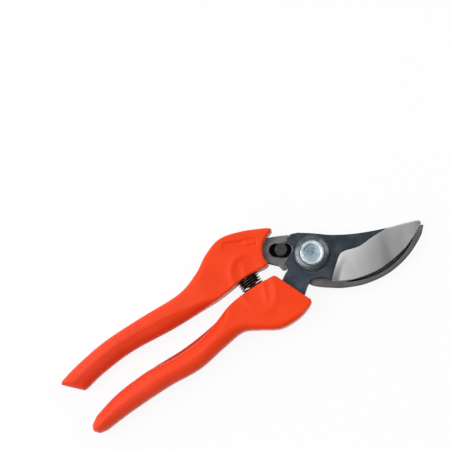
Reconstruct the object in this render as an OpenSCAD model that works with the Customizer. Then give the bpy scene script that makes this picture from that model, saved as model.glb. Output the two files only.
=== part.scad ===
// Bypass pruning shears, closed and held by the catch.
// The pivot axis is the Z axis, the blades point along +X and the grips lie on z = 0.

/* [Grips] */
// Reach of the hook grip behind the pivot
handle_len = 143.5; // [125:1:170]
// Full thickness of both grips
handle_thick = 17; // [16:0.5:22]
// Width of the rounding along a grip's edges
edge_round = 2.6; // [1:0.1:3.2]
// Play between a moulded grip and the tang inside it
mould_fit = 0.05; // [0.02:0.01:0.1]

/* [Blades] */
// Reach of the blade's tip in front of the pivot
blade_len = 56.5; // [48:0.5:70]
// Thickness of the cutting blade
blade_thick = 3.2; // [2.6:0.1:4]
// Thickness of the hook blade
hook_thick = 3.5; // [2.8:0.1:4]
// Play between the two blades
shear_gap = 0.05; // [0.02:0.01:0.1]
// Thickness that the ground face leaves at the cutting edge
edge_land = 0.6; // [0.3:0.1:1]
// Depth of the stamped recess in the hook blade
recess_depth = 0.8; // [0.4:0.1:1.2]

/* [Pivot] */
// Diameter of the pivot bolt's shank
bolt_d = 8; // [6:0.1:9]
// Radial play of the shank in a plate
bolt_play = 0.05; // [0.02:0.01:0.09]
// Diameter of the round bolt head
head_d = 12.6; // [11.5:0.1:15]
// Height of the round bolt head
head_h = 2.5; // [1.5:0.1:3]
// Diameter of the dished washer under the head
head_washer_d = 18.4; // [16:0.1:21]
// Thickness of the dished washer
head_washer_t = 1.5; // [1:0.1:1.8]
// Width across the flats of the nut
nut_af = 13; // [12:0.1:14]
// Diameter of the washer under the nut
nut_washer_d = 16; // [14.5:0.1:16.5]
// Thickness of the washer under the nut
nut_washer_t = 0.8; // [0.5:0.1:1.2]

/* [Catch] */
// Distance from the pivot to the catch pin when it locks
catch_r = 15.9; // [15.6:0.1:16.5]
// Distance that the catch slides out to free the blade
catch_travel = 2.8; // [2.2:0.1:3.4]
// Diameter of the knob
knob_d = 6.5; // [5:0.1:7]
// Height of the knob above the blade
knob_h = 1.8; // [1:0.1:3]
// Diameter of the pin that stands in the blade's notch
stem_d = 3.2; // [2.4:0.1:3.4]
// Width of the slot in the hook blade
slot_w = 6.6; // [5.5:0.1:6.8]

/* [Spring] */
// Outside diameter of the return spring
spring_d = 12; // [10:0.1:13]
// Diameter of the spring wire
wire_d = 1; // [0.8:0.1:1.4]
// Number of turns
spring_turns = 9; // [5:1:10]
// Thickness of a spring seat's flange
seat_t = 1.2; // [0.8:0.1:1.6]
// Length of a spring seat's plug in its grip
plug_l = 4; // [3:0.1:4.5]

/* [Hidden] */
$fn = 64;

orange = [0.95, 0.27, 0.12];
blued = [0.22, 0.26, 0.30];
satin = [0.62, 0.60, 0.56];
zinc = [0.78, 0.82, 0.85];
black = [0.08, 0.08, 0.08];

// Levels, from the table up
shear_z = handle_thick / 2;
hook_top = shear_z - shear_gap / 2;
hook_low = hook_top - hook_thick;
blade_low = shear_z + shear_gap / 2;
blade_top = blade_low + blade_thick;
washer_low = blade_top + shear_gap;
head_low = washer_low + head_washer_t;
nut_top = hook_low - nut_washer_t;
nut_low = 0.4;

// How far the rear of the grips and the front of the blades are stretched
drawn_handle = 143.5;
grip_knee = -60;
grip_stretch = (handle_len + grip_knee) / (drawn_handle + grip_knee);
drawn_blade = 56.5;
blade_knee = 16;
blade_stretch = (blade_len - blade_knee) / (drawn_blade - blade_knee);

function placed(p) =
    [p.x < grip_knee ? grip_knee + (p.x - grip_knee) * grip_stretch
     : p.x > blade_knee ? blade_knee + (p.x - blade_knee) * blade_stretch
     : p.x, p.y];

// Catmull-Rom curve through the points of an open line
function knot(p, i) = p[max(0, min(len(p) - 1, i))];
function cubic(a, b, c, d, t) =
    0.5 * (2 * b + (c - a) * t + (2 * a - 5 * b + 4 * c - d) * t * t
           + (3 * b - a - 3 * c + d) * t * t * t);
function curve(p, n = 4) =
    [for (i = [0 : len(p) - 2]) for (k = [0 : n - 1])
        placed(cubic(knot(p, i - 1), knot(p, i), knot(p, i + 1), knot(p, i + 2), k / n)),
     placed(p[len(p) - 1])];

// An outline moved inwards by d, for points that run anticlockwise
function inset(p, d) =
    [for (i = [0 : len(p) - 1])
        let (t = p[(i + 1) % len(p)] - p[(i + len(p) - 1) % len(p)])
        p[i] + d * [-t.y, t.x] / norm(t)];

function polar(r, a) = [r * cos(a), r * sin(a)];

// Grip outlines, anticlockwise from the front
hook_grip = concat(
    curve([[-12.4, 20.2], [-14.5, 22], [-26, 26.6], [-38, 28.6], [-48, 24.8], [-57, 18.6],
           [-70, 13.6], [-92, 12.2], [-114, 10.2], [-132, 6.1], [-142.6, 2.6]]),
    curve([[-143.5, 1.2], [-142.6, 0.2], [-134.9, -6.6]], 2),
    curve([[-133, -6.5], [-122, -3.4], [-104, -0.6], [-80, -0.4], [-60, 1], [-48, 2.6],
           [-36, 4.9], [-24, 5]]),
    curve([[-22.2, 5.6], [-22.6, 10.4], [-20, 15.6], [-15.6, 18.8]], 3));

blade_grip = concat(
    curve([[-11.6, -20.8], [-21.6, -1.9]], 1),
    curve([[-22.6, -1.1], [-34, -1.2], [-48, -3.4], [-62, -8.2], [-80, -11.6], [-100, -13],
           [-120, -16], [-135, -21]]),
    curve([[-139, -24], [-140, -27], [-137.6, -29.6]], 3),
    curve([[-134, -29.9], [-118, -27.4], [-96, -25.2], [-78, -24.8], [-62, -21],
           [-50, -18.6], [-42, -21.6], [-32, -26.2], [-22, -26], [-15, -23.6], [-12.2, -21.8]]));

// Hook blade, anticlockwise: beak, top edge, tang, heel
hook_outline = concat(
    curve([[-10.6, -6.4], [-7.8, -13.8], [1.6, -20.4], [8.5, -23.7], [18, -26.4], [30, -26.9],
           [42, -24], [52, -18.6], [56.3, -14.4], [56.5, -13.4], [55.6, -12.9]]),
    curve([[49, -15.4], [38, -18], [29, -18], [21, -15.6], [15.8, -11.2], [13, -4], [10, 4.6],
           [2.8, 9.4]]),
    curve([[-4, 13.4], [-14, 17.4], [-24, 19.8], [-36, 20.6], [-48, 15.8], [-62, 10.4],
           [-94, 8.4]]),
    curve([[-96, 5.8], [-94, 3.4], [-62, 5], [-48, 10], [-36, 13.2], [-28, 11.4], [-22, 6],
           [-18, 2.6]]),
    [[-17.4, 0.6], [-17, -0.6], [-14.6, -1]]);

// Cutting blade, anticlockwise: neck, edge, tip, back, heel with the catch's notch, tang
blade_outline = concat(
    curve([[-13.8, -17.4], [-8.4, -12.6], [-5.2, -11.8], [0.4, -14.4], [2.3, -17]]),
    curve([[3.2, -17.8], [13, -21.7], [27, -23.2], [42, -20.2], [52, -15.2], [55.6, -12.8]]),
    curve([[56.4, -11.6], [56.1, -10.3], [54.6, -9.5], [50, -8.6], [40, -6.6], [26, -2.2], [14, 3.2], [5, 9],
           [-1.6, 12.9]]),
    curve([[-5, 13.9], [-9.2, 12.1], [-8.6, 10], [-7.8, 7.6], [-9.2, 5.6], [-12.6, 4.1],
           [-15, 2], [-15.1, -1.4]]),
    curve([[-19.4, -4.4], [-24, -10.6], [-34, -11.6], [-48, -9.4], [-62, -13.4], [-94, -18]]),
    curve([[-96, -20], [-94, -22], [-62, -17.8], [-50, -14.6], [-40, -18], [-30, -22.2],
           [-20, -22]]));

// Ground face of the blade, and the stamped recess of the hook blade
ground_face = concat(
    curve([[2.4, -17.4], [7, -12.2], [12.6, -7.2], [16, -6.4], [23, -8], [31, -7], [40, -6.4]]),
    [placed([60, -6]), placed([60, -30]), [2.4, -30]]);
recess_outline = concat(
    curve([[10, -20.6], [17.7, -23.6], [26, -24.6], [34, -24.4], [41, -23], [43.2, -21.4]]),
    curve([[42.2, -20.6], [33.2, -20.8], [26.5, -20.4], [20.5, -18.8], [15.4, -16.4]]));
grind_y = -7;
grind_width = 15.8;
grind_turn = -3;
grind_angle = atan((blade_thick - edge_land) / grind_width);

// Catch: it slides away from the pivot along this direction
catch_at = polar(catch_r, 145.5);
catch_dir = 150;
catch_play = 0.1;
bar_d = 9;
bar_in = 2.5;
bar_out = 1.65;
bar_t = 2.6;
key_in = 2;
knob_gap = 0.15;
slot_in = 2.1;
slot_out = catch_travel;
key_d = slot_w - 2 * catch_play;
slider_low = hook_low - catch_play - bar_t;
clip_t = 0.8;

// Return spring, across the gap between the grips
spring_at = [-34.6, 0];
spring_tilt = 5;
hook_seat_y = 5.2;
blade_seat_y = -7.4;
spring_r = (spring_d - wire_d) / 2;
peg_d = spring_d - 2 * wire_d - 0.8;
flange_d = spring_d + 1;
seat_play = 0.05;
plug_d = 6;
hook_peg_h = 4.2;
blade_peg_h = 2.6;
peg_nose = 1.2;
well_l = 4;

module plate(outline, low, high) {
    translate([0, 0, low]) linear_extrude(high - low) polygon(outline);
}

module rod(d, low, high) {
    translate([0, 0, low]) cylinder(d = d, h = high - low);
}

// A flat bar with round ends, along the catch's direction
module slide_bar(d, from, to, low, high) {
    translate([catch_at.x, catch_at.y, low]) rotate(catch_dir) {
        translate([from, 0, 0]) cylinder(d = d, h = high - low);
        translate([to, 0, 0]) cylinder(d = d, h = high - low);
        translate([from, -d / 2, 0]) cube([to - from, d, high - low]);
    }
}

// A grip's body in five layers, narrower towards its two flat faces
module grip_body(outline) {
    for (layer = [[1, 0], [0.42, 0.27], [0, 0.85]])
        translate([0, 0, layer[1] * edge_round])
            linear_extrude(handle_thick - 2 * layer[1] * edge_round)
                offset(delta = -layer[0] * edge_round) polygon(outline);
}

// Spring frame: z runs along the spring, from the blade grip to the hook grip
module on_spring(y) {
    translate([spring_at.x, 0, shear_z]) rotate([0, 0, spring_tilt])
        rotate([-90, 0, 0]) translate([0, 0, y]) children();
}

module counter_blade() {
    color(satin) difference() {
        plate(hook_outline, hook_low, hook_top);
        rod(bolt_d + 2 * bolt_play, hook_low - 1, hook_top + 1);
        slide_bar(slot_w, -slot_in, slot_out, hook_low - 1, hook_top + 1);
        plate(recess_outline, hook_top - recess_depth, hook_top + 1);
    }
}

module cutting_blade() {
    color(blued) difference() {
        plate(blade_outline, blade_low, blade_top);
        rod(bolt_d + 2 * bolt_play, blade_low - 1, blade_top + 1);
        intersection() {
            plate(ground_face, blade_low, blade_top + 1);
            translate([0, grind_y, blade_top]) rotate([0, 0, grind_turn])
                rotate([grind_angle, 0, 0]) translate([-20, -60, 0]) cube([120, 60, 20]);
        }
    }
}

module hook_handle() {
    color(orange) difference() {
        grip_body(hook_grip);
        plate(inset(hook_outline, -mould_fit), hook_low - mould_fit, hook_top + mould_fit);
        on_spring(hook_seat_y - well_l)
            cylinder(d = flange_d + 2 * seat_play, h = well_l + seat_t);
        on_spring(hook_seat_y) cylinder(d = plug_d + 2 * seat_play, h = seat_t + plug_l);
    }
}

module blade_handle() {
    color(orange) difference() {
        grip_body(blade_grip);
        plate(inset(blade_outline, -mould_fit), blade_low - mould_fit, blade_top + mould_fit);
        on_spring(blade_seat_y - seat_t)
            cylinder(d = flange_d + 2 * seat_play, h = seat_t - blade_seat_y + well_l);
    }
}

module pivot_bolt() {
    color(zinc) {
        rod(bolt_d, 0, head_low + 1);
        rod(head_d, head_low, head_low + head_h - 0.5);
        translate([0, 0, head_low + head_h - 0.5])
            cylinder(d1 = head_d, d2 = head_d - 1.2, h = 0.5);
    }
}

module pivot_nut() {
    color(zinc) difference() {
        translate([0, 0, nut_low])
            cylinder(d = nut_af / cos(30), h = nut_top - nut_low, $fn = 6);
        rod(bolt_d + 2 * bolt_play, 0, nut_top + 1);
    }
}

module head_washer() {
    color(blued) difference() {
        union() {
            rod(head_washer_d, washer_low, washer_low + head_washer_t / 2);
            translate([0, 0, washer_low + head_washer_t / 2])
                cylinder(d1 = head_washer_d, d2 = head_d + 1.6, h = head_washer_t / 2);
        }
        rod(bolt_d + 2 * bolt_play, washer_low - 1, head_low + 1);
    }
}

module nut_washer() {
    color(zinc) difference() {
        rod(nut_washer_d, nut_top, hook_low);
        rod(bolt_d + 2 * bolt_play, nut_top - 1, hook_low + 1);
    }
}

module catch_knob() {
    knob_low = blade_top + knob_gap;
    color(blued) translate([catch_at.x, catch_at.y, 0]) {
        rod(stem_d, slider_low - clip_t - 0.4, knob_low + 0.5);
        rod(knob_d, knob_low, knob_low + knob_h - 0.4);
        translate([0, 0, knob_low + knob_h - 0.4])
            cylinder(d1 = knob_d, d2 = knob_d - 0.8, h = 0.4);
    }
}

module catch_slider() {
    color(black) difference() {
        union() {
            slide_bar(bar_d, -bar_in, bar_out, slider_low, hook_low - catch_play);
            slide_bar(key_d, -key_in, 0, hook_low - 2 * catch_play, hook_top - catch_play);
        }
        translate([catch_at.x, catch_at.y, 0])
            rod(stem_d + 2 * seat_play, slider_low - 1, hook_top + 1);
        for (x = [-5.4, 4])
            translate([catch_at.x, catch_at.y, slider_low]) rotate(catch_dir)
                translate([x, -6, -1]) cube([0.8, 12, 1.6]);
    }
}

module catch_clip() {
    color(satin) translate([catch_at.x, catch_at.y, 0]) difference() {
        rod(stem_d + 2.6, slider_low - clip_t, slider_low);
        rod(stem_d + 2 * seat_play, slider_low - clip_t - 1, slider_low + 1);
    }
}

// The wire is a ring of six points swept along the coil
module return_spring() {
    steps = 18;
    low = blade_seat_y + wire_d / 2 + 0.05;
    high = hook_seat_y - wire_d / 2 - 0.05;
    count = spring_turns * steps;
    points = [for (i = [0 : count]) let (a = 360 * i / steps, z = low + (high - low) * i / count)
        for (k = [0 : 5]) let (r = spring_r + wire_d / 2 * cos(60 * k))
            [r * cos(a), r * sin(a), z + wire_d / 2 * sin(60 * k)]];
    sides = [for (i = [0 : count - 1]) for (k = [0 : 5]) let (m = (k + 1) % 6)
        [6 * i + k, 6 * i + m, 6 * i + 6 + m, 6 * i + 6 + k]];
    ends = [[5, 4, 3, 2, 1, 0], [for (k = [0 : 5]) 6 * count + k]];
    color([0.30, 0.22, 0.18]) on_spring(0) polyhedron(points, concat(sides, ends));
}

module hook_spring_seat() {
    color(black) on_spring(hook_seat_y) {
        cylinder(d = flange_d, h = seat_t);
        cylinder(d = plug_d, h = seat_t + plug_l - 0.3);
        translate([0, 0, -hook_peg_h]) cylinder(d = peg_d, h = hook_peg_h + 0.1);
        translate([0, 0, -hook_peg_h - peg_nose])
            cylinder(d1 = peg_d - 2.4, d2 = peg_d, h = peg_nose);
    }
}

module blade_spring_seat() {
    color(black) on_spring(blade_seat_y) {
        translate([0, 0, -seat_t]) cylinder(d = flange_d, h = seat_t);
        cylinder(d = peg_d, h = blade_peg_h);
        translate([0, 0, blade_peg_h]) cylinder(d1 = peg_d, d2 = peg_d - 2.4, h = peg_nose);
    }
}

counter_blade();
cutting_blade();
hook_handle();
blade_handle();
pivot_bolt();
pivot_nut();
head_washer();
nut_washer();
catch_knob();
catch_slider();
catch_clip();
return_spring();
hook_spring_seat();
blade_spring_seat();
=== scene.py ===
"""Bypass pruning shears, closed and lying flat, seen from above."""
import math

import bpy
import numpy as np
from mathutils import Matrix, Vector


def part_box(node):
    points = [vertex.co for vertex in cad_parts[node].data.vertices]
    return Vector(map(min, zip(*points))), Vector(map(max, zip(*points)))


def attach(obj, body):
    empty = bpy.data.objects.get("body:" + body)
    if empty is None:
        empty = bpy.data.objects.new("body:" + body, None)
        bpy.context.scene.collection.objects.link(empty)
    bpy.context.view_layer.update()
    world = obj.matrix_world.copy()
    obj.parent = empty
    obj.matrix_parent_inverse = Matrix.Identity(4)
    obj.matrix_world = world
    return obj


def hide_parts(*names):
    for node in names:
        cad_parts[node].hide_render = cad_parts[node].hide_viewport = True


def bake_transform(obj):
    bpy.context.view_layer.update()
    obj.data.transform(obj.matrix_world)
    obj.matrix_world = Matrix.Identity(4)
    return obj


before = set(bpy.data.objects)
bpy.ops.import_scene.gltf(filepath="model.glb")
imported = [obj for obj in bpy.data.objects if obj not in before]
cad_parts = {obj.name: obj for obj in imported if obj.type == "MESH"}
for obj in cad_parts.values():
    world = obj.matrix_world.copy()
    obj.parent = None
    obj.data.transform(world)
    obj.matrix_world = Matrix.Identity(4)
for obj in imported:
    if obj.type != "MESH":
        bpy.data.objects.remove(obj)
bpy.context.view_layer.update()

MM = 0.001  # every shape below is written in millimetres


def box_mm(node):
    """The CAD node's lowest and highest corners, in millimetres."""
    low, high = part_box(node)
    return [v / MM for v in low], [v / MM for v in high]


# ---------------------------------------------------------------- sizes from the frame

grip_box = box_mm("hook_handle")
blade_box = box_mm("cutting_blade")
hook_box = box_mm("counter_blade")
washer_box = box_mm("head_washer")
bolt_box = box_mm("pivot_bolt")
knob_box = box_mm("catch_knob")

MID = (grip_box[0][2] + grip_box[1][2]) / 2
HALF = (grip_box[1][2] - grip_box[0][2]) / 2
BLADE_LOW, BLADE_TOP = blade_box[0][2], blade_box[1][2]
HOOK_LOW, HOOK_TOP = hook_box[0][2], hook_box[1][2]
SHANK_R, BORE_R = 4.0, 4.05
CATCH_AT = ((knob_box[0][0] + knob_box[1][0]) / 2, (knob_box[0][1] + knob_box[1][1]) / 2)
CATCH_DIR = math.radians(150)
SLOT_R, SLOT_IN, SLOT_OUT = 3.3, 2.1, 2.8
SPRING_X, SPRING_TILT = -34.6, math.radians(5)
HOOK_SEAT_Y, BLADE_SEAT_Y = 5.2, -7.4  # faces that the coil stands on, along the spring
SEAT_R = 6.5


# ---------------------------------------------------------------- outlines


def cubic(o, q, r, s, t):
    """Catmull-Rom value at t between q and r."""
    bend = 2 * o - 5 * q + 4 * r - s
    return 0.5 * (2 * q + (r - o) * t + bend * t * t + (3 * q - o - 3 * r + s) * t**3)


def curve(points, n=8):
    """Points on a Catmull-Rom curve through an open line of points."""
    p = [points[0], *points, points[-1]]
    out = []
    for four in zip(p, p[1:], p[2:], p[3:]):
        for k in range(n):
            out.append([cubic(*values, k / n) for values in zip(*four)])
    return out + [list(points[-1])]


MOUTH = [(-22.2, 5.6), (-22.6, 10.4), (-20, 15.6), (-15.6, 18.8)]  # the hook grip's front
HOOK_GRIP = (
    curve(
        [(-12.4, 20.2), (-14.5, 22), (-26, 26.6), (-38, 28.6), (-48, 24.8), (-57, 18.6),
         (-70, 13.6), (-92, 12.2), (-114, 10.2), (-132, 6.1), (-142.6, 2.6)]
    )
    + curve([(-143.5, 1.2), (-142.6, 0.2), (-134.9, -6.6)], 3)
    + curve(
        [(-133, -6.5), (-122, -3.4), (-104, -0.6), (-80, -0.4),
         (-60, 1), (-48, 2.6), (-36, 4.9), (-24, 5)]
    )
    + curve(MOUTH, 6)
)
BLADE_GRIP = (
    curve([(-11.6, -20.8), (-21.6, -1.9)], 1)
    + curve(
        [(-22.6, -1.1), (-34, -1.2), (-48, -3.4), (-62, -8.2),
         (-80, -11.6), (-100, -13), (-120, -16), (-135, -21)]
    )
    + curve([(-139, -24), (-140, -27), (-137.6, -29.6)], 6)
    + curve(
        [(-134, -29.9), (-118, -27.4), (-96, -25.2), (-78, -24.8), (-62, -21),
         (-50, -18.6), (-42, -21.6), (-32, -26.2), (-22, -26), (-15, -23.6), (-12.2, -21.8)]
    )
)
HOOK_PLATE = (
    curve(
        [(-10.6, -6.4), (-7.8, -13.8), (1.6, -20.4), (8.5, -23.7), (18, -26.4), (30, -26.9),
         (42, -24), (52, -18.6), (56.3, -14.4), (56.5, -13.4), (55.6, -12.9)]
    )
    + curve(
        [(49, -15.4), (38, -18), (29, -18), (21, -15.6), (15.8, -11.2), (13, -4), (10, 4.6), (2.8, 9.4)]
    )
    + curve([(-4, 13.4), (-14, 17.4), (-24, 19.8), (-36, 20.6), (-48, 15.8), (-62, 10.4), (-94, 8.4)])
    + curve(
        [(-96, 5.8), (-94, 3.4), (-62, 5), (-48, 10), (-36, 13.2), (-28, 11.4), (-22, 6), (-18, 2.6)]
    )
    + [[-17.4, 0.6], [-17, -0.6], [-14.6, -1]]
)
CUTTING_EDGE = curve([(3.2, -17.8), (13, -21.7), (27, -23.2), (42, -20.2), (52, -15.2), (55.6, -12.8)])
BLADE_PLATE = (
    curve([(-13.8, -17.4), (-8.4, -12.6), (-5.2, -11.8), (0.4, -14.4), (2.3, -17)])
    + CUTTING_EDGE
    + curve(
        [(56.3, -11.9), (55.9, -10.8), (54.3, -9.9), (50, -8.8), (40, -6.6),
         (26, -2.2), (14, 3.2), (5, 9), (-1.6, 12.9)]
    )
    + curve(
        [(-5, 13.9), (-9.2, 12.1), (-8.6, 10), (-7.8, 7.6),
         (-9.2, 5.6), (-12.6, 4.1), (-15, 2), (-15.1, -1.4)]
    )
    + curve([(-19.4, -4.4), (-24, -10.6), (-34, -11.6), (-48, -9.4), (-62, -13.4), (-94, -18)])
    + curve([(-96, -20), (-94, -22), (-62, -17.8), (-50, -14.6), (-40, -18), (-30, -22.2), (-20, -22)])
)
GROUND_LINE = curve(
    [(1.6, -17.5), (6, -12.4), (11.6, -7.4), (15, -6.6), (22.6, -8), (31, -7), (40, -6.4)]
)
# The first two spans are the heel. The rest, the upper line, runs on past the tip.
GROUND_HEEL, GROUND_TOP = GROUND_LINE[:17], GROUND_LINE[16:] + [[60, -6]]
GROUND_FACE = GROUND_LINE + [[60, -6], [60, -30], [1.6, -30]]  # runs past the cutting edge
RECESS = curve(
    [(8.6, -20.9), (13, -22.7), (19, -24.2), (26, -24.9), (34, -24.1),
     (41, -21.9), (46, -19.4), (49, -17.2), (49.4, -16.2)]
) + curve([(45, -18.0), (40, -19.4), (33.2, -20.6), (26.5, -20.4), (20.5, -18.8), (15.4, -16.4)])


def line_distance(line, x, y, closed):
    """Distance of each grid point to a line of points."""
    best = np.full(np.broadcast(x, y).shape, 1e9)
    ends = line[1:] + (line[:1] if closed else [])
    for (ax, ay), (bx, by) in zip(line, ends):
        dx, dy = bx - ax, by - ay
        size = dx * dx + dy * dy
        if size < 1e-9:
            continue
        t = np.clip(((x - ax) * dx + (y - ay) * dy) / size, 0, 1)
        best = np.minimum(best, (x - ax - t * dx) ** 2 + (y - ay - t * dy) ** 2)
    return np.sqrt(best)


def depth_inside(outline, x, y):
    """Signed distance to a closed outline, positive inside."""
    inside = np.zeros(np.broadcast(x, y).shape, bool)
    for (ax, ay), (bx, by) in zip(outline, outline[1:] + outline[:1]):
        if ay != by:
            crosses = (ay > y) != (by > y)
            inside ^= crosses & (x < (bx - ax) * (y - ay) / (by - ay) + ax)
    return np.where(inside, 1, -1) * line_distance(outline, x, y, True)


def smooth(v, low, high):
    """0 below low, 1 above high, and a smooth step between."""
    t = np.clip((v - low) / (high - low), 0, 1)
    return t * t * (3 - 2 * t)


def follow(points, x):
    """Height of a smooth line over x, for points that run towards +x."""
    line = curve(points, 6)
    return np.interp(x, [p[0] for p in line], [p[1] for p in line])


def rounded(side, face, radius):
    """Depth inside two walls that meet in a round edge."""
    a, b = np.maximum(radius - side, 0), np.maximum(radius - face, 0)
    return radius - np.sqrt(a * a + b * b)


# ---------------------------------------------------------------- meshes


def new_object(name, vertices, faces):
    """A mesh object from vertices in millimetres."""
    mesh = bpy.data.meshes.new(name)
    mesh.from_pydata([tuple(v) for v in np.asarray(vertices) * MM], [], faces)
    mesh.validate()
    obj = bpy.data.objects.new(name, mesh)
    bpy.context.scene.collection.objects.link(obj)
    return obj


def smooth_shading(obj, angle=35):
    """Smooth shading, with edges sharper than the angle kept crisp."""
    obj.data.shade_smooth()
    obj.data.set_sharp_from_angle(angle=math.radians(angle))


def cell_vertices(value, inside):
    """A vertex in each grid cell that the surface crosses, in the middle of its crossings."""
    shape = [n - 1 for n in value.shape]
    total = np.zeros(shape + [3], np.float32)
    count = np.zeros(shape, np.float32)
    corners = [(i, j, k) for i in (0, 1) for j in (0, 1) for k in (0, 1)]

    def at(array, corner):
        return array[tuple(slice(c, c + n) for c, n in zip(corner, shape))]

    for a in corners:
        for axis in range(3):
            if a[axis]:
                continue
            b = tuple(1 if i == axis else a[i] for i in range(3))
            cross = at(inside, a) != at(inside, b)
            va, vb = at(value, a), at(value, b)
            t = np.where(cross, va / np.where(cross, va - vb, 1), 0)
            for i in range(3):
                total[..., i] += np.where(cross, a[i] + (t if i == axis else 0), 0)
            count += cross
    active = count > 0
    index = np.full(shape, -1, np.int64)
    index[active] = np.arange(active.sum())
    return np.argwhere(active) + total[active] / count[active][:, None], index


def crossing_faces(inside, index):
    """A face across each grid edge that the surface crosses, turned outwards."""
    shape = index.shape
    faces = []
    for axis in range(3):
        u, v = (axis + 1) % 3, (axis + 2) % 3
        here = [slice(None)] * 3
        there = [slice(None)] * 3
        here[axis], there[axis] = slice(0, -1), slice(1, None)
        first, second = inside[tuple(here)], inside[tuple(there)]
        edge = np.argwhere(first != second)
        edge = edge[(edge[:, u] > 0) & (edge[:, v] > 0)]
        edge = edge[(edge[:, u] < shape[u]) & (edge[:, v] < shape[v])]
        leaving = first[tuple(edge.T)]
        around = []
        for du, dv in ((1, 1), (0, 1), (0, 0), (1, 0)):
            c = edge.copy()
            c[:, u] -= du
            c[:, v] -= dv
            around.append(index[tuple(c.T)])
        quad = np.stack(around, 1)
        quad[~leaving] = quad[~leaving][:, ::-1]
        faces.append(quad)
    return np.concatenate(faces).tolist()


def skin(name, field, low, high, step):
    """The surface where field(x, y, z) is 0, between the corners low and high."""
    axes = [np.arange(low[i] - 2 * step, high[i] + 2.01 * step, step) for i in range(3)]
    x, y, z = axes[0][:, None, None], axes[1][None, :, None], axes[2][None, None, :]
    value = np.broadcast_to(field(x, y, z), [len(a) for a in axes]).astype(np.float32)
    inside = value > 0
    vertices, index = cell_vertices(value, inside)
    vertices = vertices * step + [a[0] for a in axes]
    return new_object(name, vertices, crossing_faces(inside, index))


def mark(obj, name, values):
    """Stores one number at each vertex, for the material to read."""
    attribute = obj.data.attributes.new(name, "FLOAT", "POINT")
    attribute.data.foreach_set("value", np.asarray(values, np.float32))


def vertices_mm(obj):
    """The object's vertices as one array of x, y and z."""
    co = np.empty(len(obj.data.vertices) * 3, np.float32)
    obj.data.vertices.foreach_get("co", co)
    return co.reshape(-1, 3) / MM


def lathe(name, profile, centre=(0, 0), sides=96):
    """A profile of (radius, height) turned round a vertical axis.

    A profile that ends at radius 0 is closed there.
    """
    vertices, faces, rings = [], [], []
    for r, h in profile:
        if r < 1e-6:
            rings.append([len(vertices)] * sides)
            vertices.append((centre[0], centre[1], h))
            continue
        rings.append(list(range(len(vertices), len(vertices) + sides)))
        for k in range(sides):
            a = 2 * math.pi * k / sides
            vertices.append((centre[0] + r * math.cos(a), centre[1] + r * math.sin(a), h))
    closed = profile[0][0] > 0 and profile[-1][0] > 0
    for lower, upper in zip(rings, rings[1:] + (rings[:1] if closed else [])):
        for k in range(sides):
            m = (k + 1) % sides
            faces.append(list(dict.fromkeys((lower[k], lower[m], upper[m], upper[k]))))
    return new_object(name, vertices, faces)


def arc(centre, radius, start, end, n=6):
    """Points of (radius, height) on a quarter turn of a lathe profile's edge."""
    angles = [math.radians(start + (end - start) * k / n) for k in range(n + 1)]
    return [(centre[0] + radius * math.cos(a), centre[1] + radius * math.sin(a)) for a in angles]


# ---------------------------------------------------------------- grips


def scoop(x, y, centre, inner, sign, reach, lean, bead_h, bowl_d):
    """Depth of a shell-shaped hollow: a bead for a rim, a bowl inside it and a leaning ridge.

    It starts at the line y = inner beside the spring and reaches away from it, along sign.
    """
    u, v = x - centre, np.maximum(sign * (y - inner), 0)
    rim = np.sqrt((u / 8.8) ** 2 + (v / reach) ** 2)
    bowl = 1 - smooth(rim, 0.45, 1.0)
    ridge = np.exp(-(((u - lean * (1 - v / reach)) / 1.9) ** 2)) * (1 - smooth(v, 0.5 * reach, reach))
    bead = np.exp(-(((rim - 1.0) / 0.17) ** 2))
    return bead_h * (1 - bead) + bowl_d * bowl * (1 - 0.75 * ridge)


def label_panel(x, y):
    """Plain frame where a label would be: a sunk field and an outlined one."""
    angle = math.radians(-19)
    half_height = 1.6
    dx, dy = x + 30.4, y - 21.3
    u = dx * math.cos(angle) + dy * math.sin(angle)
    v = -dx * math.sin(angle) + dy * math.cos(angle)
    sunk = np.maximum(np.abs(u + 3.4) - 5.2, np.abs(v) - half_height)
    outlined = np.maximum(np.abs(u - 5.3) - 3.3, np.abs(v) - half_height)
    return 0.45 * (1 - smooth(sunk, -0.25, 0.15)) + 0.4 * (1 - smooth(np.abs(outlined), 0.1, 0.5))


HOOK_FRONT = (
    curve([(-52, 2.1), (-48, 2.6), (-36, 4.9), (-24, 5)])
    + curve(MOUTH)
    + [[-12.4, 20.2]]
)
BLADE_FRONT = [[-15, -23.6], [-11.6, -20.8], [-21.6, -1.9]] + curve(
    [(-22.6, -1.1), (-34, -1.2), (-48, -3.4)]
)
BLADE_INNER = curve(
    [(-34, -1.2), (-48, -3.4), (-62, -8.2), (-80, -11.6), (-100, -13), (-112, -14.6)]
)
CREASE = [
    (-146, -3.6), (-135, -0.4), (-123, 3.0), (-111, 5.2), (-100, 6.1),
    (-89, 6.3), (-78, 6.0), (-68, 5.1), (-52, 3.0),
]  # along the hook grip's tail, where its top face starts to fall
EDGE_R = 0.9  # smallest rounding of a grip's edges, near its front


def hook_grip_field(x, y, z):
    """Depth inside the hook grip."""
    side = np.minimum(depth_inside(HOOK_GRIP, x, y), grip_box[1][1] - y)
    front = smooth(line_distance(HOOK_FRONT, x, y, False), 2, 9)
    fall = follow(CREASE, x) - y
    fall = (fall + np.sqrt(fall * fall + 0.12)) / 2 * smooth(-x, 46, 60)
    cut = scoop(x, y, centre=-33.4, inner=4.9, sign=1, reach=11.0, lean=-1.5, bead_h=0.5, bowl_d=0.6)
    cut = cut * smooth(x, -58, -44)
    cut = cut + label_panel(x, y) * (z > MID)
    radius = EDGE_R + (1.6 + 1.8 * smooth(-x, 44, 70)) * front
    return rounded(side, HALF - 0.5 * fall - cut - np.abs(z - MID), radius)


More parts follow.
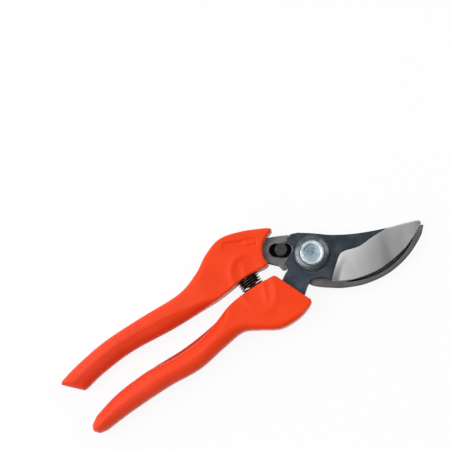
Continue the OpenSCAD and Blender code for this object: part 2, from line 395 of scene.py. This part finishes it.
def blade_grip_field(x, y, z):
    """Depth inside the blade grip."""
    side = depth_inside(BLADE_GRIP, x, y)
    front = smooth(line_distance(BLADE_FRONT, x, y, False), 2, 9)
    lip = lip_width(x) * smooth(z - MID, -0.6, 0.0)
    side = np.minimum(side, line_distance(BLADE_INNER, x, y, False) - lip)
    cut = scoop(x, y, centre=-32.8, inner=-1.4, sign=-1, reach=13.5, lean=4.0, bead_h=0.3, bowl_d=0.85)
    cut = cut * smooth(x, -58, -44)
    radius = EDGE_R + (1.7 + 3.6 * smooth(-x, 34, 66)) * front
    return rounded(side, HALF - cut - np.abs(z - MID), radius)


def lip_width(x):
    """Width of the step along the blade grip's inner edge."""
    return 1.7 * smooth(-x, 54, 74) * (1 - smooth(-x, 84, 104))


def groove_shade(x, y, z):
    """1 on the step beside the blade grip's inner edge, where painted shade darkens it."""
    inner = line_distance(BLADE_INNER, x, y, False)
    width = lip_width(x)
    return smooth(width - inner, -0.35, 0.15) * smooth(width, 0.1, 0.8) * smooth(z - MID, -2.5, -1.0)


def seat_well(x, y, z, top_y, depth):
    """Round well for a spring seat, along the spring's tilted axis."""
    c, s = math.cos(SPRING_TILT), math.sin(SPRING_TILT)
    u = (x - SPRING_X) * c + y * s
    v = -(x - SPRING_X) * s + y * c
    radial = np.sqrt(u * u + (z - MID) ** 2)
    return np.minimum(SEAT_R + 0.05 - radial, np.minimum(v - (top_y - depth), top_y - v))


def tang_slot(outline, low, high, x, y, z):
    """The space that a steel tang takes up inside its grip."""
    play = 0.05
    level = (high - low) / 2 + play - np.abs(z - (low + high) / 2)
    return np.minimum(depth_inside(outline, x, y) + play, level)


def make_grips():
    """Both mouldings, with the wells of the spring's seats and the slots of the tangs."""
    step = 0.36

    def hook(x, y, z):
        body = hook_grip_field(x, y, z)
        well = seat_well(x, y, z, top_y=6.4, depth=6)
        tang = tang_slot(HOOK_PLATE, HOOK_LOW, HOOK_TOP, x, y, z)
        return np.minimum(body, -np.maximum(well, tang))

    def blade(x, y, z):
        body = blade_grip_field(x, y, z)
        well = seat_well(x, y, z, top_y=6, depth=14.6)
        tang = tang_slot(BLADE_PLATE, BLADE_LOW, BLADE_TOP, x, y, z)
        return np.minimum(body, -np.maximum(well, tang))

    for name, field, node, body in (
        ("hook_grip_moulding", hook, "hook_handle", "hook_arm"),
        ("blade_grip_moulding", blade, "blade_handle", "blade_arm"),
    ):
        low, high = box_mm(node)
        obj = skin(name, field, low, high, step)
        obj.data.shade_smooth()
        v = vertices_mm(obj)
        # painted shade on the blade grip's inner-edge step, stored for the material
        mark(obj, "groove_shade", groove_shade(v[:, 0], v[:, 1], v[:, 2]) * (body == "blade_arm"))
        dress(obj, orange_plastic(), "orange_grip", body, node)


# ---------------------------------------------------------------- blades


def ground_painted_reflection(x, y, into):
    """Brightness of the ground face, painted in to stand for how its hollow grind reflects light: pale at
    the heel, with a dark band past the middle.
    """
    along = (x - 0.35 * (y + 16)) - 34
    reflection_tone = 0.85 - 0.37 * smooth(x, 4, 34)
    reflection_tone = reflection_tone - 0.2 * np.exp(-((along / 3.6) ** 2)) - 0.06 * np.exp(-(((along + 6) / 5) ** 2))
    reflection_tone = reflection_tone + 0.3 * smooth(along, 7, 17)
    # a painted highlight along the heel strip, and a painted dark line beside it
    heel = (x < 11) * (into < 1.5) * (y < -8.6)
    line = (x < 10) * (y < -9) * np.exp(-(((into - 1.75) / 0.25) ** 2))
    return reflection_tone + 0.22 * heel - 0.06 * line


def make_cutting_blade():
    """The blued plate with its ground face."""
    step = 0.28
    land, first = 0.5, 0.12  # thickness left at the edge, and depth of the ground face's first step
    thick = BLADE_TOP - BLADE_LOW

    def grind(x, y):
        """Depth ground away, from the upper line down to the cutting edge."""
        into = depth_inside(GROUND_FACE, x, y)
        edge = line_distance(CUTTING_EDGE, x, y, False)
        upper = line_distance(GROUND_TOP, x, y, False)
        fall = (thick - land - first) * (upper / (upper + edge + 1e-6)) ** 1.25
        fall = fall * smooth(line_distance(GROUND_HEEL, x, y, False), -2.6, 4)
        return np.where(into > 0, first + fall, first * smooth(into, -0.25, 0))

    def field(x, y, z):
        side = np.minimum(depth_inside(BLADE_PLATE, x, y), np.hypot(x, y) - BORE_R)
        top = BLADE_TOP - grind(x, y) - z
        return rounded(side, np.minimum(top, z - BLADE_LOW), 0.24)

    obj = skin("blade_plate", field, *blade_box, step)
    obj.data.shade_smooth()
    v = vertices_mm(obj)
    into = depth_inside(GROUND_FACE, v[:, 0], v[:, 1])
    mark(obj, "ground", np.where(v[:, 2] > BLADE_LOW + 0.15, into, -1))
    # painted reflection of the hollow grind, stored for the material
    mark(obj, "reflection_tone", ground_painted_reflection(v[:, 0], v[:, 1], into))
    rim = 1 - smooth(depth_inside(BLADE_PLATE, v[:, 0], v[:, 1]), 0.1, 0.45)
    # the heel's top edges are lighter: partly worn bare steel, partly a painted highlight
    mark(obj, "edge_wear_and_highlight", rim * smooth(-v[:, 0], 1, 6) * (v[:, 2] > BLADE_LOW + 1))
    dress(obj, blade_steel(), "blued_steel", "blade_arm", "cutting_blade")


def make_counter_blade():
    """The hook plate with the catch's slot and the stamped recess."""
    step = 0.28
    recess_depth = 0.8

    def capsule(x, y):
        """Distance outside the slot."""
        ux, uy = math.cos(CATCH_DIR), math.sin(CATCH_DIR)
        dx, dy = x - CATCH_AT[0], y - CATCH_AT[1]
        t = np.clip(dx * ux + dy * uy, -SLOT_IN, SLOT_OUT)
        return np.hypot(dx - t * ux, dy - t * uy) - SLOT_R

    def field(x, y, z):
        side = np.minimum(depth_inside(HOOK_PLATE, x, y), np.hypot(x, y) - BORE_R)
        sink = recess_depth * smooth(depth_inside(RECESS, x, y), 0.0, 0.55)
        face = np.minimum(HOOK_TOP - sink - z, z - HOOK_LOW)
        return np.minimum(rounded(side, face, 0.4), rounded(capsule(x, y), face, 0.12))

    obj = skin("hook_plate", field, *hook_box, step)
    obj.data.shade_smooth()
    v = vertices_mm(obj)
    x, y, z = v[:, 0], v[:, 1], v[:, 2]
    stamped = np.where(z > MID - 2, depth_inside(RECESS, x, y), -1)
    # painted shade: the slot's walls are darkened in colour
    slot_wall_shade = np.where(z < HOOK_TOP - 0.2, 0.2 - np.abs(capsule(x, y)), -1)
    mark(obj, "recess", np.maximum(stamped, slot_wall_shade))
    mark(obj, "beak", smooth(x, -12, 2))
    mark(obj, "rubbed", smooth(depth_inside(BLADE_PLATE, x, y), 0.2, 1.0) * smooth(x, 0, 10))
    dress(obj, hook_steel(), "satin_steel", "hook_arm", "counter_blade")


# ---------------------------------------------------------------- pivot, catch and spring


def make_bolt():
    """The pivot bolt: a round head with a sunk middle."""
    head_r = (bolt_box[1][0] - bolt_box[0][0]) / 2
    top, low = bolt_box[1][2], washer_box[1][2]
    profile = [(0, 0.0), (SHANK_R - 0.5, 0.0), (SHANK_R, 0.5), (SHANK_R, low)]
    profile += [(head_r - 0.2, low), (head_r, low + 0.2)]
    profile += arc((head_r - 0.7, top - 0.7), 0.7, 0, 90)
    profile += [(4.45, top), (4.25, top - 0.12), (4.05, top - 0.38), (3.8, top - 0.42)]
    profile += [(1.2, top - 0.46), (0, top - 0.62)]
    obj = lathe("bolt_turned", profile)
    smooth_shading(obj, 40)
    v = vertices_mm(obj)
    mark(obj, "rim", smooth(np.hypot(v[:, 0], v[:, 1]), 3.5, 4.2))
    dress(obj, zinc_steel(), "zinc_steel", "hook_arm", "pivot_bolt")


def make_head_washer():
    """The dished washer under the bolt's head."""
    radius = (washer_box[1][0] - washer_box[0][0]) / 2
    low, top = washer_box[0][2], washer_box[1][2]
    profile = [(BORE_R, low), (radius - 0.2, low), (radius, low + 0.2), (radius, low + 0.45)]
    profile += [(radius - 0.12, low + 0.62), (8.3, low + 1.02), (7.3, low + 1.33)]
    profile += [(6.8, top - 0.03), (6.5, top)]
    profile += [(BORE_R + 0.1, top), (BORE_R, top - 0.1)]
    obj = lathe("washer_dished", profile)
    smooth_shading(obj, 34)
    dress(obj, washer_steel(), "blued_steel", "hook_arm", "head_washer")


def make_knob():
    """The catch's knob and its pin."""
    end, top = knob_box[0][2], knob_box[1][2]
    radius = (knob_box[1][0] - knob_box[0][0]) / 2
    low = BLADE_TOP + 0.15
    stem = 1.6
    profile = [(0, end), (stem - 0.3, end), (stem, end + 0.3), (stem, low)]
    profile += [(radius - 0.3, low)] + arc((radius - 0.3, low + 0.3), 0.3, -90, 0, 4)
    profile += arc((radius - 0.45, top - 0.45), 0.45, 0, 90)
    profile += [(1.0, top), (0.6, top - 0.08), (0, top - 0.12)]
    obj = lathe("knob_turned", profile, CATCH_AT, 64)
    smooth_shading(obj, 40)
    dress(obj, knob_steel(), "blued_steel", "catch", "catch_knob")


def spring_frame():
    """From the spring's own frame, where z runs from the blade grip to the hook grip."""
    turn = Matrix.Rotation(SPRING_TILT, 4, "Z") @ Matrix.Rotation(math.radians(-90), 4, "X")
    return Matrix.Translation((SPRING_X, 0, MID)) @ turn


def make_seat(name, node, body, base, sign, reach, plug):
    """Moulded seat: a plug in the grip, a flange, and a domed peg that centres the coil."""
    peg_r, dome, flange, bevel = 4.6, 2.4, 1.2, 0.15
    profile = [(0, -plug), (2.8, -plug), (3.0, 0.2 - plug), (3.0, -flange)]
    profile += [(SEAT_R - bevel, -flange), (SEAT_R, bevel - flange), (SEAT_R, -bevel)]
    profile += [(SEAT_R - bevel, 0), (peg_r + 0.2, 0), (peg_r + 0.05, bevel), (peg_r, reach - dome)]
    for a in (math.radians(degrees) for degrees in range(15, 90, 15)):
        profile.append((peg_r * math.cos(a), reach - dome + dome * math.sin(a)))
    profile.append((0, reach))
    obj = lathe(name, profile, (0, 0), 56)
    flip = Matrix.Identity(4) if sign > 0 else Matrix.Rotation(math.pi, 4, "X")
    place = spring_frame() @ Matrix.Translation((0, 0, base)) @ flip
    for vertex in obj.data.vertices:
        vertex.co = (place @ (vertex.co / MM)) * MM
    smooth_shading(obj, 40)
    dress(obj, black_plastic(), "black_plastic", body, node)


def coil_height(t, turns, closed, lead, wire_d):
    """Height of the wire's middle above its start, after t turns."""
    even = min(max(t - closed, 0), turns - 2 * closed)
    return wire_d * min(t, closed) + lead * even + wire_d * max(t - turns + closed, 0)


def make_spring():
    """The coil: closed turns at both ends and even turns between."""
    turns, around, sides = 9.0, 40, 12
    coil_r, wire_r = 5.5, 0.5
    flat = 0.64  # the wire is a little flat, because the open pose stretches it
    play = 0.05
    low, high = BLADE_SEAT_Y + wire_r + play, HOOK_SEAT_Y - wire_r - play
    closed = 0.7  # closed turns at each end
    lead = (high - low - 2 * closed * 2 * wire_r) / (turns - 2 * closed)
    vertices, faces = [], []
    count = int(turns * around)
    for i in range(count + 1):
        t = i / around
        rise = coil_height(t, turns, closed, lead, 2 * wire_r)
        a = 2 * math.pi * t
        out = Vector((math.cos(a), math.sin(a), 0))
        for k in range(sides):
            b = 2 * math.pi * k / sides
            height = low + rise + flat * wire_r * math.sin(b)
            vertices.append(out * (coil_r + wire_r * math.cos(b)) + Vector((0, 0, height)))
    for i in range(0, sides * count, sides):
        for k in range(sides):
            m = (k + 1) % sides
            faces.append((i + k, i + m, i + sides + m, i + sides + k))
    faces += [tuple(range(sides))[::-1], tuple(range(sides * count, sides * (count + 1)))]
    place = spring_frame()
    obj = new_object("spring_wire", [place @ v for v in vertices], faces)
    obj.data.shade_smooth()
    obj.data.materials.append(spring_steel())
    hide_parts("return_spring")
    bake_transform(obj)


# ---------------------------------------------------------------- materials


class Nodes:
    """A material's node tree, with a shorter way to add and join nodes."""

    def __init__(self, name, colour, metallic, roughness):
        self.material = bpy.data.materials.new(name)
        self.material.use_nodes = True
        self.tree = self.material.node_tree
        self.shader = self.tree.nodes["Principled BSDF"]
        self.shader.inputs["Base Color"].default_value = (*colour, 1)
        self.shader.inputs["Metallic"].default_value = metallic
        self.shader.inputs["Roughness"].default_value = roughness
        self.place = self.add("ShaderNodeTexCoord").outputs["Object"]

    def add(self, kind, **settings):
        """A new node with the settings given."""
        node = self.tree.nodes.new(kind)
        for key, value in settings.items():
            setattr(node, key, value)
        return node

    def join(self, source, target):
        """Links an output to an input."""
        self.tree.links.new(source, target)

    def noise(self, scale, detail=4.0, stretch=(1, 1, 1), turn=0.0):
        """Noise in object space: scale is in cycles a metre."""
        mapping = self.add("ShaderNodeMapping")
        mapping.inputs["Scale"].default_value = stretch
        mapping.inputs["Rotation"].default_value = (0, 0, turn)
        self.join(self.place, mapping.inputs["Vector"])
        node = self.add("ShaderNodeTexNoise")
        node.inputs["Scale"].default_value = scale
        node.inputs["Detail"].default_value = detail
        self.join(mapping.outputs["Vector"], node.inputs["Vector"])
        return node.outputs["Fac"]

    def band(self, source, low, high, to_low=0.0, to_high=1.0):
        """The source's range from low to high, mapped to another range."""
        node = self.add("ShaderNodeMapRange")
        ends = {"From Min": low, "From Max": high, "To Min": to_low, "To Max": to_high}
        for key, value in ends.items():
            node.inputs[key].default_value = value
        self.join(source, node.inputs["Value"])
        return node.outputs["Result"]

    def mix(self, share, a, b):
        """Colour a where share is 0 and b where it is 1: each a colour or an output."""
        node = self.add("ShaderNodeMix", data_type="RGBA")
        self.join(share, node.inputs["Factor"])
        for socket, value in ((node.inputs[6], a), (node.inputs[7], b)):  # its colour sockets
            if isinstance(value, tuple):
                socket.default_value = (*value, 1)
            else:
                self.join(value, socket)
        return node.outputs[2]

    def attribute(self, name):
        """A number that mark() stored on the mesh."""
        return self.add("ShaderNodeAttribute", attribute_name=name).outputs["Fac"]

    def colour(self, source):
        """Sets the shader's colour."""
        self.join(source, self.shader.inputs["Base Color"])

    def rough(self, source):
        """Sets the shader's roughness."""
        self.join(source, self.shader.inputs["Roughness"])

    def bump(self, source, distance, strength):
        """Adds a bump, on top of any before it. The distance is in millimetres."""
        node = self.add("ShaderNodeBump")
        node.inputs["Distance"].default_value = distance * MM
        node.inputs["Strength"].default_value = strength
        self.join(source, node.inputs["Height"])
        if self.shader.inputs["Normal"].is_linked:
            self.join(self.shader.inputs["Normal"].links[0].from_socket, node.inputs["Normal"])
        self.join(node.outputs["Normal"], self.shader.inputs["Normal"])


_made = {}


def once(build):
    """Each material is built one time and shared."""

    def get():
        if build.__name__ not in _made:
            _made[build.__name__] = build()
        return _made[build.__name__]

    return get


@once
def orange_plastic():
    n = Nodes("orange_plastic", (0.90, 0.075, 0.02), 0.0, 0.42)
    drift = n.band(n.noise(60, 3), 0.35, 0.65)
    front = n.mix(drift, (0.84, 0.045, 0.003), (0.90, 0.053, 0.005))
    # painted sheen: the rear of each grip gets a paler, pinker colour that stands for the sheen seen there
    rear_painted_sheen = n.mix(drift, (0.84, 0.056, 0.018), (0.90, 0.064, 0.022))
    split = n.add("ShaderNodeSeparateXYZ")
    n.join(n.place, split.inputs[0])
    # painted sheen blended in from front to rear along the grips
    orange_with_painted_sheen = n.mix(n.band(split.outputs[0], -0.11, -0.04), rear_painted_sheen, front)
    # painted shade: the step beside the blade grip's inner edge is darkened in colour, standing for the
    # shadow in that channel
    n.colour(n.mix(n.attribute("groove_shade"), orange_with_painted_sheen, (0.58, 0.032, 0.008)))
    n.rough(n.band(n.noise(900, 4), 0.3, 0.7, 0.36, 0.48))
    n.bump(n.noise(2600, 3), 0.03, 0.5)
    n.shader.inputs["Specular IOR Level"].default_value = 0.15
    n.shader.inputs["Sheen Weight"].default_value = 0.3
    n.shader.inputs["Sheen Roughness"].default_value = 0.28
    return n.material


@once
def blade_steel():
    n = Nodes("blade_steel", (0.05, 0.06, 0.07), 1.0, 0.4)
    mottle = n.band(n.noise(140, 5), 0.35, 0.7)
    fine = n.band(n.noise(1500, 3), 0.3, 0.7)
    blued = n.mix(mottle, (0.026, 0.034, 0.046), (0.07, 0.084, 0.1))
    blued = n.mix(n.band(n.noise(48, 2), 0.42, 0.62, 0, 0.45), blued, (0.022, 0.027, 0.036))
    blued = n.mix(n.band(fine, 0, 1, 0, 0.4), blued, (0.026, 0.03, 0.036))
    speck = n.band(n.noise(2200, 2), 0.60, 0.72)
    blued = n.mix(n.band(speck, 0, 1, 0, 0.5), blued, (0.13, 0.15, 0.165))
    lines = n.noise(260, 3, (1, 0.06, 1), math.radians(-8))
    cloud = n.band(n.noise(70, 2), 0.3, 0.7)
    # painted reflection: the ground face's pale and dark bands stand for how its hollow grind reflects light
    ground = n.mix(n.attribute("reflection_tone"), (0.12, 0.122, 0.125), (0.86, 0.865, 0.87))
    ground = n.mix(n.band(lines, 0.3, 0.7, 0, 0.16), ground, (0.75, 0.75, 0.75))
    ground = n.mix(n.band(cloud, 0, 1, 0, 0.12), ground, (0.22, 0.225, 0.23))
    # lighter edges at the heel: partly wear, partly a painted highlight
    worn_and_highlighted = n.mix(n.band(n.noise(420, 4), 0.42, 0.62), blued, (0.42, 0.46, 0.5))
    blued = n.mix(n.attribute("edge_wear_and_highlight"), blued, worn_and_highlighted)
    share = n.band(n.attribute("ground"), -0.05, 0.15)
    n.colour(n.mix(share, blued, ground))
    n.rough(n.band(share, 0, 1, 0.44, 0.42))
    n.bump(lines, 0.02, 0.4)
    n.bump(n.noise(1800, 3), 0.015, 0.4)
    return n.material


@once
def hook_steel():
    n = Nodes("hook_steel", (0.3, 0.29, 0.27), 1.0, 0.4)
    lines = n.noise(320, 3, (0.08, 1, 1), math.radians(20))
    bare = n.mix(n.band(lines, 0.3, 0.7), (0.125, 0.12, 0.118), (0.19, 0.183, 0.178))
    bare = n.mix(n.band(n.noise(130, 4), 0.4, 0.7, 0, 0.5), bare, (0.09, 0.086, 0.085))
    bare = n.mix(n.band(n.attribute("beak"), 0, 1, 0, 0.32), bare, (0.06, 0.058, 0.058))
    bare = n.mix(n.attribute("rubbed"), bare, (0.36, 0.35, 0.335))
    dark = n.mix(n.band(n.noise(160, 4), 0.3, 0.7), (0.022, 0.024, 0.027), (0.046, 0.049, 0.053))
    # dark: the stamped recess's own dark finish, and painted shade on the slot's walls
    n.colour(n.mix(n.band(n.attribute("recess"), 0.0, 0.3), bare, dark))
    n.rough(n.band(n.noise(700, 3), 0.3, 0.7, 0.34, 0.46))
    n.bump(lines, 0.02, 0.4)
    return n.material


@once
def zinc_steel():
    n = Nodes("zinc_steel", (0.6, 0.66, 0.7), 1.0, 0.3)
    cloud = n.band(n.noise(420, 5), 0.35, 0.68)
    disc = n.mix(cloud, (0.11, 0.185, 0.245), (0.29, 0.36, 0.40))
    ring = n.mix(cloud, (0.33, 0.41, 0.46), (0.58, 0.62, 0.63))
    n.colour(n.mix(n.attribute("rim"), disc, ring))
    n.rough(n.band(n.noise(1100, 4), 0.3, 0.7, 0.34, 0.5))
    n.bump(n.noise(900, 4), 0.05, 0.5)
    return n.material


@once
def washer_steel():
    n = Nodes("washer_steel", (0.12, 0.14, 0.16), 1.0, 0.3)
    cloud = n.band(n.noise(300, 4), 0.35, 0.7)
    n.colour(n.mix(cloud, (0.08, 0.094, 0.108), (0.16, 0.182, 0.2)))
    n.rough(n.band(n.noise(900, 3), 0.3, 0.7, 0.24, 0.36))
    n.bump(n.noise(1300, 3), 0.02, 0.5)
    return n.material


@once
def knob_steel():
    n = Nodes("knob_steel", (0.06, 0.07, 0.075), 0.85, 0.5)
    n.colour(n.mix(n.band(n.noise(500, 4), 0.3, 0.7), (0.027, 0.033, 0.037), (0.052, 0.06, 0.066)))
    n.rough(n.band(n.noise(1200, 3), 0.3, 0.7, 0.44, 0.58))
    n.bump(n.noise(1600, 3), 0.03, 0.5)
    return n.material


@once
def spring_steel():
    n = Nodes("spring_steel", (0.1, 0.06, 0.045), 1.0, 0.3)
    n.colour(n.mix(n.band(n.noise(300, 3), 0.35, 0.65), (0.075, 0.048, 0.034), (0.18, 0.125, 0.095)))
    n.rough(n.band(n.noise(900, 3), 0.3, 0.7, 0.16, 0.26))
    n.bump(n.noise(1500, 2), 0.02, 0.5)
    return n.material


@once
def black_plastic():
    n = Nodes("black_plastic", (0.012, 0.012, 0.013), 0.0, 0.5)
    n.colour(n.mix(n.band(n.noise(200, 3), 0.3, 0.7), (0.002, 0.002, 0.002), (0.005, 0.005, 0.005)))
    n.shader.inputs["Specular IOR Level"].default_value = 0.04
    n.rough(n.band(n.noise(1000, 3), 0.3, 0.7, 0.4, 0.6))
    n.bump(n.noise(2200, 2), 0.03, 0.5)
    return n.material


def dress(obj, material, slot, body, *nodes):
    """Material, body and the CAD nodes that a new piece stands for; the slot is not used."""
    obj.data.materials.append(material)
    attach(obj, body)
    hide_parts(*nodes)


def dress_cad(node, material):
    """Material for a CAD node that is shown as it is."""
    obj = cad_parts[node]
    obj.data.materials.clear()
    obj.data.materials.append(material)
    smooth_shading(obj)


# ---------------------------------------------------------------- the object

make_grips()
make_cutting_blade()
make_counter_blade()
make_bolt()
make_head_washer()
make_knob()
make_spring()
make_seat("hook_seat_moulding", "hook_spring_seat", "hook_arm", HOOK_SEAT_Y, sign=-1, reach=5.3, plug=4.9)
make_seat("blade_seat_moulding", "blade_spring_seat", "blade_arm", BLADE_SEAT_Y, sign=1, reach=3.7, plug=1.2)
for cad_node, finish in (
    ("pivot_nut", zinc_steel),
    ("nut_washer", zinc_steel),
    ("catch_clip", spring_steel),
    ("catch_slider", black_plastic),
):
    dress_cad(cad_node, finish())


# ---------------------------------------------------------------- floor, lights, camera


def make_floor():
    """White floor: matt for the shadows, and mostly glowing to the camera and in reflections."""
    mesh = bpy.data.meshes.new("floor")
    size = 3.0
    corners = [(-size, -size, 0), (size, -size, 0), (size, size, 0), (-size, size, 0)]
    mesh.from_pydata(corners, [], [(0, 1, 2, 3)])
    floor = bpy.data.objects.new("floor", mesh)
    bpy.context.scene.collection.objects.link(floor)
    floor.location.z = -0.0002
    material = bpy.data.materials.new("floor_white")
    material.use_nodes = True
    tree = material.node_tree
    tree.nodes.clear()
    out = tree.nodes.new("ShaderNodeOutputMaterial")
    matt = tree.nodes.new("ShaderNodeBsdfDiffuse")
    matt.inputs["Color"].default_value = (0.9, 0.9, 0.9, 1)
    glow = tree.nodes.new("ShaderNodeEmission")
    path = tree.nodes.new("ShaderNodeLightPath")
    seen = tree.nodes.new("ShaderNodeMath")
    seen.operation = "MAXIMUM"
    part = tree.nodes.new("ShaderNodeMath")
    part.operation = "MULTIPLY"
    part.inputs[1].default_value = 0.9
    mix = tree.nodes.new("ShaderNodeMixShader")
    tree.links.new(path.outputs["Is Camera Ray"], seen.inputs[0])
    tree.links.new(path.outputs["Is Glossy Ray"], seen.inputs[1])
    tree.links.new(seen.outputs[0], part.inputs[0])
    tree.links.new(part.outputs[0], mix.inputs["Fac"])
    tree.links.new(matt.outputs[0], mix.inputs[1])
    tree.links.new(glow.outputs[0], mix.inputs[2])
    tree.links.new(mix.outputs[0], out.inputs["Surface"])
    mesh.materials.append(material)


def make_light(name, spot, aim, size, power):
    """A square area light at spot, turned towards aim."""
    light = bpy.data.lights.new(name, "AREA")
    light.size = size
    light.energy = power
    obj = bpy.data.objects.new(name, light)
    bpy.context.scene.collection.objects.link(obj)
    obj.location = spot
    obj.rotation_euler = (Vector(aim) - Vector(spot)).to_track_quat("-Z", "Y").to_euler()


def make_world(low, high):
    """Soft surroundings, brighter at the picture's upper left."""
    world = bpy.data.worlds.new("studio")
    world.use_nodes = True
    world.node_tree.nodes["Background"].inputs["Color"].default_value = (1, 1, 1, 1)
    tree = world.node_tree
    place = tree.nodes.new("ShaderNodeTexCoord")
    towards = tree.nodes.new("ShaderNodeVectorMath")
    towards.operation = "DOT_PRODUCT"
    towards.inputs[1].default_value = picture(-0.8, 0.6)
    level_at = tree.nodes.new("ShaderNodeMapRange")
    level_at.inputs["From Min"].default_value = -0.9
    level_at.inputs["From Max"].default_value = 0.9
    level_at.inputs["To Min"].default_value = low
    level_at.inputs["To Max"].default_value = high
    tree.links.new(place.outputs["Generated"], towards.inputs[0])
    tree.links.new(towards.outputs["Value"], level_at.inputs["Value"])
    tree.links.new(level_at.outputs["Result"], tree.nodes["Background"].inputs["Strength"])
    bpy.context.scene.world = world


VIEW_TURN = math.radians(28)  # the shears' axis in the picture, above its horizontal


def picture(right, up):
    """A direction in the plane of the shears, from its parts to the right and up in the picture."""
    c, s = math.cos(VIEW_TURN), math.sin(VIEW_TURN)
    return Vector((right * c + up * s, -right * s + up * c, 0))


def make_camera():
    """Nearly straight above, leaning a little towards the hook's side of the blades."""
    camera = bpy.data.cameras.new("camera")
    distance, lean = 1.0, math.radians(7)
    picture_width = 0.2305
    camera.sensor_width = 36
    camera.lens = camera.sensor_width * distance / picture_width
    camera.clip_end = 20
    obj = bpy.data.objects.new("camera", camera)
    bpy.context.scene.collection.objects.link(obj)
    aim = Vector((-0.0320, 0.0332, 0.011))
    back = Vector((0, -math.sin(lean), math.cos(lean)))
    up = picture(0, 1)
    up = (up - up.dot(back) * back).normalized()
    right = up.cross(back)
    turn = Matrix((right, up, back)).transposed().to_4x4()
    obj.matrix_world = Matrix.Translation(aim + back * distance) @ turn
    bpy.context.scene.camera = obj


make_floor()
make_world(low=0.08, high=1.02)
make_light("key", (-0.54, 0.2, 0.95), (-0.04, 0, 0), 0.8, 5.8)
make_light("fill", (0.5, 0.08, 0.8), (-0.02, 0, 0), 0.6, 1.5)
make_camera()
bpy.context.scene.view_settings.view_transform = "Standard"
